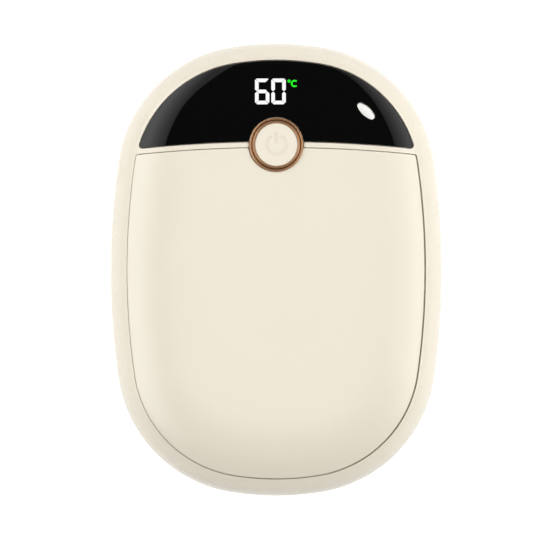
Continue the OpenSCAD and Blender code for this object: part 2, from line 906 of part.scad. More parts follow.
// Tape round the sides and the lower end of each plate's pocket
module plate_tape() {
  color("khaki") swept(lower_arcs)
    layer_area(panel_t, pocket_t, panel_inset + tape_margin, panel_inset + tape_margin + plate_tape_w);
}

module front_plate_tape() {
  front_half() plate_tape();
}

module rear_plate_tape() {
  rear_half() plate_tape();
}

// Two strips of tape, left and right of the display, down to the bar
module window_tape() {
  from = panel_inset + tape_margin;
  color("khaki") front_half() difference() {
    swept(tape_arcs) layer_area(panel_t, pocket_t, from, from + window_tape_w);
    through() bar_disc(bar_r + tape_margin);
  }
}

// A pan-head screw with a cross recess; its head is at the origin and points down
module screw(d, l, head, high) {
  cylinder(d = d, h = l);
  difference() {
    translate([0, 0, -high]) cylinder(d = head, h = high);
    for (turn = [0, 90])
      rotate(turn) translate([0, 0, -high])
        cube([head * recess_share, head * recess_w_share, high], center = true);
  }
}

module shell_screws() {
  color("silver") front_half()
    for (p = screw_places)
      translate([p[0], p[1], -seat_z]) screw(screw_d, screw_l, head_d, head_h);
}

module board_screws() {
  color("silver") front_half()
    for (x = [-board_screw_x, board_screw_x])
      translate([x, board_screw_y, board_low])
        screw(board_screw_d, board_screw_l, board_head_d, board_head_h);
}

module battery_leads() {
  from = cell_end + cell_room + protection_l;
  to = board_edge + board_gap + connector_l / 2;
  color("red") front_half()
    for (side = [-1, 1])
      translate([lead_x + side * lead_pitch / 2, from, lead_z])
        rotate([-90, 0, 0]) cylinder(r = lead_r, h = to - from);
}

front_shell();
rear_shell();
front_heat_plate();
rear_heat_plate();
display_window();
button_ring();
power_button();
switch_stem();
switch_body();
display_module();
display_shroud();
main_board();
usb_c_socket();
controller_chips();
power_inductor();
capacitors();
battery_connector();
battery_cells();
cell_tabs();
protection_board();
inner_frame();
insulation_pads();
front_heater_film();
rear_heater_film();
thermistors();
front_plate_tape();
rear_plate_tape();
window_tape();
shell_screws();
board_screws();
battery_leads();
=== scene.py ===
# %% [markdown]
# # A pocket hand warmer, dressed
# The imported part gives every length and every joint. This lesson makes the pieces that the eye
# meets first: two moulded housing halves, two coated heat plates, a glossy window with its
# figures, a turned ring and an engraved button cap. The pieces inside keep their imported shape
# and get a finish of their own.

# %% Load the frame
import json
import math

import bmesh
import bpy
import numpy as np
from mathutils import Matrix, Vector, geometry


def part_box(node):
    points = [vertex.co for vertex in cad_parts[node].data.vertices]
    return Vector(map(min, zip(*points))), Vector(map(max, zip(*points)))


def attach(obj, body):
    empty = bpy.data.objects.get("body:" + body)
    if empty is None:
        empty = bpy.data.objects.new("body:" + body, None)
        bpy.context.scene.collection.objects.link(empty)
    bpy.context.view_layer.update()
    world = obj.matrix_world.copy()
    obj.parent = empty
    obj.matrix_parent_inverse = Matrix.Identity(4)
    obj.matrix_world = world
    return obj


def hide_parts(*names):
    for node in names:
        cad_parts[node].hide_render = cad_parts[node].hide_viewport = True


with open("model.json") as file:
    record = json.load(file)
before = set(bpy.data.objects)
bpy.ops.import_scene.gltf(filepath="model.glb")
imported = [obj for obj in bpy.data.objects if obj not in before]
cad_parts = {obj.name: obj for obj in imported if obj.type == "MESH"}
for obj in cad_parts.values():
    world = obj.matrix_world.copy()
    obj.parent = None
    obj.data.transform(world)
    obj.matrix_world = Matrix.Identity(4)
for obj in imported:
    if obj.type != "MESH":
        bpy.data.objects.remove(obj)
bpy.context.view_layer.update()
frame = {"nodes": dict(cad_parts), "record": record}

print("nodes in the frame:", len(frame["nodes"]))

# %% [markdown]
# The outline of the body is eight tangent arcs: two long sides, two ends and four corners of one
# radius. A toolmaker would mill the mould from the same arcs, so that the joint lines can run at
# one even distance from the edge. All lengths below are in millimetres, with heights counted
# from the seam between the two halves, and the body's size is read from the frame.

# %% Sizes of the body
MM = 0.001
shell_low, shell_high = (np.array(corner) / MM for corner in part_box("front_shell"))
half_w, half_l = np.round(shell_high[:2], 3)
seam = round(float(shell_low[2]), 3)
face = round(float(shell_high[2]), 3) - seam
corner_r, side_r, end_r = 30.0, 167.9, 61.9
shoulder, shoulder_r = np.array([8.0, 2.5]), 8.0
crown_inset, flat_inset, crown_r = 3.2, 17.0, 23.0
crown = np.array([flat_inset, face - crown_r])
shoulder_end = math.acos((crown_inset - shoulder[0]) / shoulder_r)
wall_t, panel_t, pocket_t = 2.3, 1.0, 1.15
panel_inset, pocket_inset = 3.85, 3.65
print("half width, half length, seam and face:", half_w, half_l, seam, face)


def unit(v):
    """A vector of length one in the direction of v."""
    return v / np.hypot(v[0], v[1])


def rays(angle):
    """Vectors of length one at the given angles."""
    return np.column_stack([np.cos(angle), np.sin(angle)])


def meet(c1, r1, c2, r2, near):
    """The crossing of two circles that lies nearer the given point."""
    gap = np.subtract(c2, c1)
    span = np.hypot(gap[0], gap[1])
    along = (r1 * r1 - r2 * r2 + span * span) / (2 * span)
    aside = math.sqrt(max(r1 * r1 - along * along, 0))
    foot = np.add(c1, gap * along / span)
    step = np.array([-gap[1], gap[0]]) * aside / span
    return min(foot + step, foot - step, key=lambda p: np.hypot(*(p - near)))


side_c = np.array([half_w - side_r, 0.0])
end_c = np.array([0.0, half_l - end_r])
corner_c = meet(side_c, side_r - corner_r, end_c, end_r - corner_r, (5, 20))
side_half = math.atan2(corner_c[1], corner_c[0] - side_c[0])
end_half = math.atan2(corner_c[0], corner_c[1] - end_c[1])
quarter = math.pi / 2
quarter_steps = np.linspace(0, quarter, 7)
ARCS = [
    (side_c, side_r, -side_half, side_half),
    (corner_c, corner_r, side_half, quarter - end_half),
    (end_c, end_r, quarter - end_half, quarter + end_half),
    (corner_c * (-1, 1), corner_r, quarter + end_half, 2 * quarter - side_half),
    (-side_c, side_r, 2 * quarter - side_half, 2 * quarter + side_half),
    (-corner_c, corner_r, 2 * quarter + side_half, 3 * quarter - end_half),
    (-end_c, end_r, 3 * quarter - end_half, 3 * quarter + end_half),
    (corner_c * (1, -1), corner_r, 3 * quarter + end_half, 4 * quarter - side_half),
]
print("corner centre:", corner_c.round(3))


# %% [markdown]
# Across the edge, the skin is a straight rim, a shoulder arc and a long crown arc that runs into
# the flat of the face. A point's inset from the outline is all that its height depends on, so
# every panel can be laid on the same skin, and the plates and the window come out flush.

# %% The skin over the outline
far_away, wedge_slack, skin_slack, overlap = 99.0, 1e-6, 2e-3, 0.01


def inset(plan):
    """How far each point lies inside the outline, and the way out, as unit vectors.
    An arc counts only for the points in its own wedge, and the least distance wins."""
    depth = np.full(len(plan), far_away)
    out = np.zeros((len(plan), 2))
    for centre, radius, first, last in ARCS:
        away = plan - centre
        reach = np.hypot(away[:, 0], away[:, 1])
        angle = np.arctan2(away[:, 1], away[:, 0])
        inside = (angle - first + wedge_slack) % math.tau <= last - first + 2 * wedge_slack
        nearer = inside & (radius - reach < depth)
        depth[nearer] = (radius - reach)[nearer]
        out[nearer] = (away / reach[:, None])[nearer]
    return depth, out


def skin(plan, lowered=0.0):
    """Height above the seam of the crowned skin, lowered along its own normal.
    It is the crown's centre plus the upright side of a triangle: the radius is its long side,
    and the distance to the start of the flat its other short side."""
    depth, _ = inset(plan)
    run = np.maximum(0, crown[0] - depth)
    return crown[1] + np.sqrt((crown_r - lowered) ** 2 - run ** 2)


def outer_normals(points):
    """The exact normal of the rim, shoulder, crown or flat where a point lies on one of them,
    and whether it does. Points are in mm about the seam, with the face upwards. The lean outwards
    is the point's sideways distance from the arc's centre over the arc's radius."""
    depth, out = inset(points[:, :2])
    height = points[:, 2]
    above_rim = height > shoulder[1]
    rise = np.stack([depth - shoulder[0], height - shoulder[1]], -1)
    off_shoulder = abs(np.hypot(*rise.T) - shoulder_r)
    on_shoulder = (depth < crown_inset) & above_rim & (off_shoulder < skin_slack)
    run = np.maximum(0, crown[0] - depth)
    off_crown = abs(skin(points[:, :2]) - height)
    on_crown = (depth > crown_inset - overlap) & (off_crown < skin_slack)
    on_rim = (abs(depth) < skin_slack) & ~above_rim
    lean = np.where(on_crown, run / crown_r, np.where(on_shoulder, -rise[:, 0] / shoulder_r, 1.0))
    lean = np.clip(lean, 0, 1)
    normal = np.column_stack([out * lean[:, None], np.sqrt(1 - lean ** 2)])
    return normal, on_crown | on_shoulder | on_rim


joint_inset = (panel_inset + pocket_inset) / 2
print("height at the joint line:", skin(np.array([[half_w - joint_inset, 0.0]])).round(3))


# %% [markdown]
# Each edge that shows is a closed line of arcs with small corner radii, as a cutter leaves them.
# A line keeps its points and the way out at each, so the same line can be grown or shrunk for a
# rounded edge, a wall or a pocket.

# %% Closed lines of arcs
class Line:
    """A closed line in plan, anticlockwise, with the unit vector out of it at each point."""

    def __init__(self, plan, out):
        self.plan, self.out = plan, out

    def grown(self, by):
        return self.plan + self.out * by

    def row(self, height, by=0.0):
        """The line as points in space: height is a number, or a way to get it from the plan."""
        plan = self.grown(by)
        level = height(plan) if callable(height) else np.full(len(plan), float(height))
        return np.column_stack([plan, level])


def walk(centre, radius, turn, start, stop, spacing):
    """Points and ways out from start to stop on a circle, without the last point.
    A turn of 1 runs anticlockwise with the piece inside, and -1 clockwise with it outside."""
    first = math.atan2(*(start - centre)[::-1])
    last = math.atan2(*(stop - centre)[::-1])
    sweep = (last - first) % math.tau if turn > 0 else -((first - last) % math.tau)
    count = max(8 if radius < 2 else 2, math.ceil(abs(sweep) * radius / spacing))
    ray = rays(first + sweep * np.arange(count) / count)
    return centre + radius * ray, turn * ray


def trace(arcs, corners, spacing=0.5):
    """Closed line through oriented circles. A corner is a rough place and a fillet radius,
    negative where the piece wraps round it, or None where one arc runs into the next."""
    leave, arrive, fillets = [], [], []
    for i, corner in enumerate(corners):
        (c1, r1, t1), (c2, r2, t2) = arcs[i], arcs[(i + 1) % len(arcs)]
        if corner is None:
            big, small, r = (c1, c2, r1) if r1 > r2 else (c2, c1, r2)
            leave.append(big + r * unit(small - big))
            arrive.append(leave[-1])
            fillets.append(None)
        else:
            near, f = corner
            tip = meet(c1, r1, c2, r2, near)
            centre = meet(c1, r1 - t1 * f, c2, r2 - t2 * f, tip)
            leave.append(c1 + r1 * unit(centre - c1))
            arrive.append(c2 + r2 * unit(centre - c2))
            fillets.append((centre, abs(f), math.copysign(1, f)))
    runs = []
    for i, (centre, radius, turn) in enumerate(arcs):
        runs.append(walk(centre, radius, turn, arrive[i - 1], leave[i], spacing))
        if fillets[i]:
            runs.append(walk(*fillets[i], leave[i], arrive[i], spacing))
    plan, out = (np.vstack(part) for part in zip(*runs))
    return Line(plan, out)


def along_edges(points, spacing):
    """Points along a closed line, no further apart than the spacing. For each: the corner before
    it, the corner after it, and its share of the way between them."""
    steps = np.roll(points, -1, 0) - points
    count = np.maximum(1, np.ceil(np.hypot(*steps.T) / spacing)).astype(int)
    start = np.repeat(np.arange(len(points)), count)
    share = np.concatenate([np.arange(n) / n for n in count])[:, None]
    return start, (start + 1) % len(points), share


def rounded_box(low, high, radius):
    """Closed line of a box with rounded corners, from its lowest and highest corner."""
    plan, out = [], []
    for turn, (to_right, to_top) in enumerate([(1, 1), (0, 1), (0, 0), (1, 0)]):
        ray = rays(quarter * (turn + np.linspace(0, 1, 9)))
        centre = (high[0] - radius if to_right else low[0] + radius,
                  high[1] - radius if to_top else low[1] + radius)
        plan.append(centre + radius * ray)
        out.append(ray)
    plan, out = np.vstack(plan), np.vstack(out)
    start, stop, share = along_edges(plan, 1.0)
    blend = out[start] * (1 - share) + out[stop] * share
    return Line(plan[start] * (1 - share) + plan[stop] * share,
                blend / np.hypot(*blend.T)[:, None])


def circle(centre, radius, count=160):
    """Closed line of a circle."""
    ray = rays(math.tau * np.arange(count) / count)
    return Line(centre + radius * ray, ray)


# %% The lines of this part
packed_bar_inset, bar_inset, button_drop = 21.6, 21.8, 0.85
bar_r, window_r, bar_high_r, bar_low_r, plate_r = 304.0, 304.1, 303.9, 302.8, 302.6
ring_seat_r, tip_f = 6.1, 0.3
window_f, window_seat_f, plate_f, plate_seat_f = 0.6, 0.8, 0.5, 0.7
bar_c = np.array([0.0, half_l - bar_inset - bar_r])
ring_c = np.array([0.0, half_l - packed_bar_inset - button_drop])
TOP, SIDES_AND_FOOT = [1, 2, 3], [3, 4, 5, 6, 7, 0, 1]


def rim_arcs(which, depth):
    """Some of the outline's arcs, moved inwards, as oriented circles."""
    return [(ARCS[i][0], ARCS[i][1] - depth, 1) for i in which]


left, right, left_tip, right_tip = (-33, 26), (33, 26), (-6, 28), (6, 28)
window_edge, plate_edge = (bar_c, window_r, -1), (bar_c, plate_r, 1)
bar_high, bar_low = (bar_c, bar_high_r, -1), (bar_c, bar_low_r, 1)
round_ring, ring_seat = (ring_c, ring_seat_r, -1), (ring_c, ring_seat_r, 1)
outline = trace(rim_arcs(range(8), 0.0), [None] * 8)
window_line = trace(
    [window_edge, round_ring, window_edge] + rim_arcs(TOP, panel_inset),
    [(left_tip, tip_f), (right_tip, tip_f), (right, window_f), None, None, (left, window_f)])
front_plate_line = trace(
    [plate_edge, round_ring, plate_edge] + rim_arcs(SIDES_AND_FOOT, panel_inset),
    [(right_tip, tip_f), (left_tip, tip_f), (left, plate_f)] + [None] * 6 + [(right, plate_f)])
front_pocket_line = trace(
    [bar_high, ring_seat, bar_low] + rim_arcs(SIDES_AND_FOOT, pocket_inset)
    + [bar_low, ring_seat, bar_high] + rim_arcs(TOP, pocket_inset),
    [((-6, 28.3), -tip_f), ((-6, 27.2), -tip_f), (left, plate_seat_f)] + [None] * 6
    + [(right, plate_seat_f), ((6, 27.2), -tip_f), ((6, 28.3), -tip_f),
       (right, window_seat_f), None, None, (left, window_seat_f)])
rear_plate_line = trace(
    [plate_edge] + rim_arcs(SIDES_AND_FOOT, panel_inset),
    [(left, plate_f)] + [None] * 6 + [(right, plate_f)])
rear_pocket_line = trace(
    [bar_low] + rim_arcs(SIDES_AND_FOOT, pocket_inset),
    [(left, plate_seat_f)] + [None] * 6 + [(right, plate_seat_f)])
plate_shift = (-0.12, 0.04)
front_plate_line.plan += plate_shift
print("points on the outline, window and pocket:",
      len(outline.plan), len(window_line.plan), len(front_pocket_line.plan))

# %% [markdown]
# The lanyard hole is an oval of four arcs, two small ends and two long sides that run into them.
# It sits on the radius of the body's corner and is turned square to it, so it follows the edge.

# %% Lanyard hole
hole_turn, hole_inset = math.radians(46.7), 8.8
hole_ray = np.array([math.cos(hole_turn), math.sin(hole_turn)])
hole_at = corner_c + (corner_r - hole_inset) * hole_ray
hole_c, hole_end_r, hole_half = 1.7, 0.7, 1.05
hole_side_r = round((hole_c ** 2 + hole_half ** 2 - hole_end_r ** 2)
                    / (2 * (hole_half - hole_end_r)), 6)
hole_side_y = hole_side_r - hole_half
hole_line = trace(
    [(np.array([hole_c, 0.0]), hole_end_r, 1), (np.array([0.0, -hole_side_y]), hole_side_r, 1),
     (np.array([-hole_c, 0.0]), hole_end_r, 1), (np.array([0.0, hole_side_y]), hole_side_r, 1)],
    [None] * 4, spacing=0.12)
lean = hole_turn - quarter
spin = np.array([[math.cos(lean), math.sin(lean)], [-math.sin(lean), math.cos(lean)]])
hole_line = Line(hole_at + hole_line.plan @ spin, hole_line.out @ spin)
print("hole at:", hole_at.round(2), "radius of its long sides:", hole_side_r)


# %% [markdown]
# A moulding is made from bands between rows of one line, and from covers that fill the space
# between lines with points that lie on the skin. Its loose sheets are then welded into one
# closed surface. Where a point lies on the skin, it takes the skin's exact normal, so that long
# soft highlights run over the surface without a ripple, as they do on polished tooling.

# %% Building a closed moulding
def between_rims(plan, rims):
    """Which points lie inside the first rim and outside the others: those with an odd number of
    edges of the first to their right, and an even number of each other's."""
    kept = []
    for part in np.array_split(plan, len(plan) // 1000 + 1):
        keep = np.ones(len(part), bool)
        for i, rim in enumerate(rims):
            after = np.roll(rim, -1, 0)
            crosses = (rim[:, 1] > part[:, 1:]) != (after[:, 1] > part[:, 1:])
            rise = np.where(after[:, 1] == rim[:, 1], 1.0, after[:, 1] - rim[:, 1])
            x = rim[:, 0] + (part[:, 1:] - rim[:, 1]) * (after[:, 0] - rim[:, 0]) / rise
            odd = (crosses & (part[:, :1] < x)).sum(1) % 2 == 1
            keep &= odd if i == 0 else ~odd
        kept.append(keep)
    return np.concatenate(kept)


def added(name, data):
    """A new object of the scene, from its mesh, lamp or camera."""
    obj = bpy.data.objects.new(name, data)
    bpy.context.scene.collection.objects.link(obj)
    return obj


class Moulding:
    """Sheets of points in mm about the seam, welded into one closed mesh."""

    def __init__(self, flip=False):
        self.points, self.faces, self.count, self.flip = [], [], 0, flip

    def take(self, points, faces):
        self.points.append(points)
        self.faces += (np.asarray(faces) + self.count).tolist()
        self.count += len(points)

    def band(self, rows):
        """Quads between closed rows that have as many points each."""
        n, across = len(rows[0]), np.arange(len(rows) - 1)[:, None] * len(rows[0])
        here = across + np.arange(n)
        after = across + (np.arange(n) + 1) % n
        self.take(np.vstack(rows), np.stack([here, after, after + n, here + n], -1).reshape(-1, 4))

    def cover(self, rims, height, grid=1.0):
        """Triangles inside the first rim and outside the others, on a grid of inner points.
        Rims are plans, and height gives the level of a plan."""
        rim = np.vstack(rims)
        low, high = rims[0].min(0), rims[0].max(0)
        cells = np.meshgrid(*(np.arange(a + grid / 2, b, grid) for a, b in zip(low, high)))
        inner = np.stack(cells, -1).reshape(-1, 2)
        room = [np.hypot(*(part[:, None] - rim).T).min(0) > 0.6 * grid
                for part in np.array_split(inner, len(inner) // 400 + 1)]
        inner = inner[np.concatenate(room)]
        plan = np.vstack([rim, inner[between_rims(inner, rims)]])
        starts = np.cumsum([0] + [len(r) for r in rims])
        edges = [(a + i, a + (i + 1) % n) for a, n in zip(starts, map(len, rims)) for i in range(n)]
        _, _, faces, origin, _, _ = geometry.delaunay_2d_cdt(
            [Vector(p) for p in plan], edges, [], 1, 1e-6)
        source = np.array([o[0] for o in origin])
        faces = source[np.array(faces)]
        faces = faces[between_rims(plan[faces].mean(1), rims)]
        used, faces = np.unique(faces, return_inverse=True)
        plan = plan[used]
        self.take(np.column_stack([plan, height(plan)]), faces.reshape(-1, 3))

    def rounded(self, line, radius, side):
        """Rows that round an edge from the wall below it onto the skin, by a quarter circle. Side
        is -1 where the piece lies inside the line, and 1 where it lies outside. Returns the rows,
        from the wall upwards."""
        rows = []
        for angle in quarter_steps:
            row = line.row(skin, side * radius * (1 - math.cos(angle)))
            row[:, 2] -= radius * (1 - math.sin(angle))
            rows.append(row)
        self.band(rows)
        return rows

    def piece(self, name):
        """The welded mesh as an object, in metres, with its faces outwards."""
        points = np.vstack(self.points)
        if self.flip:
            points = points * (1, 1, -1)
        mesh = bpy.data.meshes.new(name)
        mesh.from_pydata(((points + (0, 0, seam)) * MM).tolist(), [], self.faces)
        work = bmesh.new()
        work.from_mesh(mesh)
        bmesh.ops.remove_doubles(work, verts=work.verts, dist=1e-6)
        bmesh.ops.dissolve_degenerate(work, edges=work.edges, dist=1e-8)
        bmesh.ops.recalc_face_normals(work, faces=work.faces)
        loose = sum(1 for edge in work.edges if len(edge.link_faces) != 2)
        work.to_mesh(mesh)
        work.free()
        obj = added(name, mesh)
        shade(obj, self.flip)
        print(name, "faces:", len(mesh.polygons), "open edges:", loose)
        return obj


SHARP_ANGLE, SKIN_ANGLE = math.radians(38), math.radians(25)


def values_of(items, key, width=1, kind=float):
    """One attribute of a mesh's points, corners or faces, as an array."""
    values = np.empty(len(items) * width, kind)
    items.foreach_get(key, values)
    return values.reshape(-1, width) if width > 1 else values


def shade(obj, flip=False):
    """Smooth shading with sharp edges kept, and the skin's own normals where a corner of a face
    lies on the skin and leans its way."""
    mesh = obj.data
    mesh.polygons.foreach_set("use_smooth", np.ones(len(mesh.polygons), bool))
    mesh.set_sharp_from_angle(angle=SHARP_ANGLE)
    points = values_of(mesh.vertices, "co", 3) / MM - (0, 0, seam)
    side = np.array([1, 1, -1 if flip else 1])
    wanted, known = outer_normals(points * side)
    wanted = wanted * side
    corner = values_of(mesh.loops, "vertex_index", kind=np.int32)
    sizes = values_of(mesh.polygons, "loop_total", kind=np.int32)
    facing = np.repeat(values_of(mesh.polygons, "normal", 3), sizes, axis=0)
    agree = known[corner] & ((wanted[corner] * facing).sum(1) > math.cos(SKIN_ANGLE))
    mesh.normals_split_custom_set(np.where(agree[:, None], wanted[corner], 0).tolist())
    mesh.update()


def lowered(by):
    """The way to the height of the skin lowered by a thickness."""
    return lambda plan: skin(plan, by)


# %% [markdown]
# The two halves are injection moulded in satin plastic: a 2.3 mm wall all round, a small bevel
# at the seam, a lip on the rear half that locates the front one, and a pocket in each face for
# the plate, which leaves the raised rim and, in front, the slim bar under the window. Its edges
# have the small radius that a mould is given, and this radius is what catches the light.

# %% Housing halves
edge_r, bevel, tube_t, tube_gap, hidden_grid = 0.09, 0.2, 1.0, 0.15, 1.5
step_in, step_up, lip_in, lip_low = 1.3, 1.3, 1.4, -1.2
film_opening = rounded_box((-19.7, -29.6), (19.7, 19.8), 8.0)
display_opening = rounded_box((-7.6, half_l - 16.0), (7.6, half_l - 5.4), 0.4)
button_opening = circle(ring_c, 5.6)


def shoulder_rows(line, lower, steps):
    """Rows of the shoulder arc, from the top of the rim to the start of the crown."""
    radius = shoulder_r - lower
    rows = []
    for angle in np.linspace(math.pi, shoulder_end, steps + 1):
        depth = shoulder[0] + radius * math.cos(angle)
        rows.append(line.row(shoulder[1] + radius * math.sin(angle), -depth))
    return rows


def housing(name, seam_rows, pocket, openings, flip=False, through=None):
    """One half: a band from the inner crown over the seam to the outer crown, the face round
    the pocket, the pocket's wall and floor, and the inner skin. The seam's rows are pairs of
    inset and height. Through is a hole with a tube round it that ends at the front pocket."""
    half = Moulding(flip)
    inner = shoulder_rows(outline, wall_t, 8)[::-1]
    outer = shoulder_rows(outline, 0.0, 14)
    half.band(inner + [outline.row(z, -d) for d, z in seam_rows] + outer)
    holes = [opening.plan for opening in openings]
    face_rims, inner_rims = [outer[-1][:, :2]], [inner[0][:, :2]] + holes
    rows = half.rounded(pocket, edge_r, 1)
    face_rims.append(rows[-1][:, :2])
    half.band([pocket.row(lowered(pocket_t)), rows[0]])
    for opening in openings:
        half.band([opening.row(lowered(pocket_t)), opening.row(lowered(wall_t))])
    if through:
        mouth = half.rounded(through, edge_r, 1)
        face_rims.append(mouth[-1][:, :2])
        inner_rims.append(through.grown(tube_t))
        tube_top = lambda plan: -skin(plan, pocket_t)
        half.band([mouth[0], through.row(tube_top), through.row(tube_top, tube_t),
                   through.row(lowered(wall_t), tube_t)])
    half.cover(face_rims, skin)
    half.cover([pocket.plan] + holes, lowered(pocket_t), hidden_grid)
    half.cover(inner_rims, lowered(wall_t), hidden_grid)
    return half.piece(name)


bevel_rows = [(bevel, 0), (0, bevel)]
tube_opening = Line(hole_line.grown(tube_t + tube_gap), hole_line.out)
front_housing = housing(
    "front_housing", [(wall_t, step_up), (step_in, step_up), (step_in, 0)] + bevel_rows,
    front_pocket_line, [film_opening, display_opening, button_opening, tube_opening])
rear_housing = housing(
    "rear_housing", [(wall_t, lip_low), (lip_in, lip_low), (lip_in, 0)] + bevel_rows,
    rear_pocket_line, [film_opening], flip=True, through=hole_line)


# %% [markdown]
# The charging port is a slot with round ends across the seam. It is cut through both halves
# together, with a softened mouth that follows the curve of the end, as the core pin in the mould
# would leave it.

# %% Port slot
slot_w, slot_h, slot_soft, slot_floor, end_points = 9.34, 3.66, 0.25, 42.24, 17


def port_cutter():
    """A slot with round ends whose outline is swept along Y, wider by a fillet at its mouth. At
    the mouth, y is the centre of the body's end plus the upright side of a triangle whose long
    side is the end's radius."""
    reach, radius = slot_w / 2, slot_h / 2
    right_end = rays(np.linspace(-quarter, quarter, end_points))
    ray = np.vstack([right_end, -right_end])
    middle = np.repeat([[reach - radius, 0.0], [radius - reach, 0.0]], end_points, axis=0)

    def row(grow, level, bent=0.0):
        section = middle + ray * (radius + grow)
        y = level + bent * np.sqrt(end_r ** 2 - section[:, 0] ** 2)
        return np.column_stack([section[:, 0], y, section[:, 1]])

    rows = [row(0.0, slot_floor)]
    for bend in quarter_steps:
        rows.append(row(slot_soft * (1 - math.cos(bend)),
                        end_c[1] - slot_soft * (1 - math.sin(bend)), 1.0))
    rows.append(row(slot_soft, half_l + 2))
    cutter = Moulding()
    cutter.band(rows)
    fan = np.arange(len(ray))
    for cap in (rows[0], rows[-1]):
        cutter.take(np.vstack([cap, cap.mean(0)]),
                    np.column_stack([fan, np.roll(fan, -1), np.full(len(ray), len(ray))]))
    return cutter.piece("port_cutter")


def cut(obj, tool):
    """Takes the tool's volume out of the piece for good."""
    change = obj.modifiers.new("port slot", "BOOLEAN")
    change.object, change.operation, change.solver = tool, "DIFFERENCE", "EXACT"
    bpy.context.view_layer.update()
    result = bpy.data.meshes.new_from_object(
        obj.evaluated_get(bpy.context.evaluated_depsgraph_get()))
    obj.modifiers.clear()
    result.name = obj.name
    obj.data = result


slot_cutter = port_cutter()
for half, flip in ((front_housing, False), (rear_housing, True)):
    cut(half, slot_cutter)
    shade(half, flip)
    print(half.name, "faces after the slot:", len(half.data.polygons))
bpy.data.objects.remove(slot_cutter)

# %% [markdown]
# The heat plates are pressed from 1 mm aluminium to the crown of the housing and coated in its
# colour. The window is a moulded panel of the same kind in gloss black. Each is a closed sheet
# on the skin with a softened edge, and the lanyard hole goes through the window.

# %% Plates and window
panel_edge_r = 0.07


def panel(name, line, flip=False, holes=()):
    """A crowned sheet, 1 mm thick, inside a line and outside its holes."""
    sheet = Moulding(flip)
    tops, undersides = [], []
    for side, rim in [(-1, line)] + [(1, hole) for hole in holes]:
        rows = sheet.rounded(rim, panel_edge_r, side)
        sheet.band([rim.row(lowered(panel_t)), rows[0]])
        tops.append(rows[-1][:, :2])
        undersides.append(rim.plan)
    sheet.cover(tops, skin)
    sheet.cover(undersides, lowered(panel_t), hidden_grid)
    return sheet.piece(name)


front_plate = panel("front_plate", front_plate_line)
rear_plate = panel("rear_plate", rear_plate_line, flip=True)
window = panel("window", window_line, holes=[hole_line])


# %% [markdown]
# The ring is turned from brass: two round beads with a groove between them, on a sleeve that
# drops into the housing. The cap runs in it. Its power mark is sunk 0.05 mm, which is why it
# reads only as a faint change of shade. Both are profiles turned round the button's axis.

# %% Turned pieces
pole_r = 1e-4


def turned(profile, count=256, shape=None):
    """A closed profile of (radius, height above the face) turned round the button's axis.
    Shape, if given, adds to the height of each point above the face, from its plan."""
    lathe = Moulding()
    rows = [circle(ring_c, max(radius, pole_r), count).row(face + height)
            for radius, height in profile]
    if shape:
        for row in rows:
            row[:, 2] += shape(row[:, :2]) * (row[:, 2] > face)
    lathe.band(rows)
    return lathe


def bow(centre, radius, first, last, steps=14):
    """Points of a profile round an arc, in degrees."""
    angle = np.radians(np.linspace(first, last, steps + 1))
    return [(centre[0] + radius * math.cos(a), centre[1] + radius * math.sin(a)) for a in angle]


# %% Ring: bore, inner bead, groove, outer bead, flange and sleeve
bead, bead_at, inner_bead, outer_bead = 0.225, 0.224, 5.07, 5.73
bore_r, outer_r, sleeve_r, groove_from, groove_to = 4.84, 5.96, 5.5, 5.31, 5.50
groove_low, flange_low, sleeve_low = -0.05, -1.15, -2.9
ring_profile = (
    [(bore_r, sleeve_low), (bore_r, 0.0)] + bow((inner_bead, bead_at), bead, 180, 0)
    + [(groove_from, groove_low), (groove_to, groove_low)]
    + bow((outer_bead, bead_at), bead, 180, 0)
    + [(outer_r, flange_low), (sleeve_r, flange_low), (sleeve_r, sleeve_low),
       (bore_r, sleeve_low)])
button_ring = turned(ring_profile).piece("ring")

# %% Cap and its power mark
mark_at, mark_r, mark_opening = np.array([-0.02, 27.55]), 2.16, math.radians(36)
bow_half, bar_half, bar_from, bar_to = 0.36, 0.37, 0.70, 2.58
mark_slope, mark_sunk = 0.16, 0.05


def mark_depth(plan):
    """How far a point is sunk into the power mark, from 0 on the cap to 1 on its floor. The mark
    is an open circle and an upright bar with round ends. The distance to the nearer of their
    middle lines, less half a stroke, is spread over the width of the slope."""
    away = plan - mark_at
    reach = np.hypot(*away.T)
    angle = np.abs(np.arctan2(away[:, 0], away[:, 1]))
    tip = mark_r * np.array([math.sin(mark_opening), math.cos(mark_opening)])
    to_tip = np.hypot(np.abs(away[:, 0]) - tip[0], away[:, 1] - tip[1])
    to_bow = np.where(angle > mark_opening, np.abs(reach - mark_r), to_tip)
    along = np.clip(away[:, 1], bar_from, bar_to)
    to_bar = np.hypot(away[:, 0], away[:, 1] - along)
    edge = np.minimum(to_bow - bow_half, to_bar - bar_half)
    return np.clip(0.5 - edge / mark_slope, 0, 1)


cap_top, cap_r, cap_edge = 0.15, 4.75, 0.16
# The cap's outside, its foot, the hollow under it, and the stud that rests on the switch
cap_underside = [(cap_r, -3.2), (5.25, -3.2), (5.25, -4.2), (3.7, -4.2), (3.7, -0.85),
                 (1.5, -0.85), (1.5, -5.67), (0, -5.67)]
cap_profile = (
    [(radius, cap_top) for radius in np.linspace(0, cap_r - cap_edge, 61)]
    + bow((cap_r - cap_edge, cap_top - cap_edge), cap_edge, 90, 0, 8)[1:] + cap_underside)
power_cap = turned(
    cap_profile, 360, lambda plan: -mark_sunk * mark_depth(plan)).piece("power_cap")
spots = values_of(power_cap.data.vertices, "co", 3) / MM
sunk = mark_depth(spots[:, :2]) * (spots[:, 2] > seam + face)
power_cap.data.attributes.new("mark", "FLOAT", "POINT").data.foreach_set(
    "value", sunk.astype(np.float32))
print("points in the power mark:", int((sunk > 0.5).sum()))


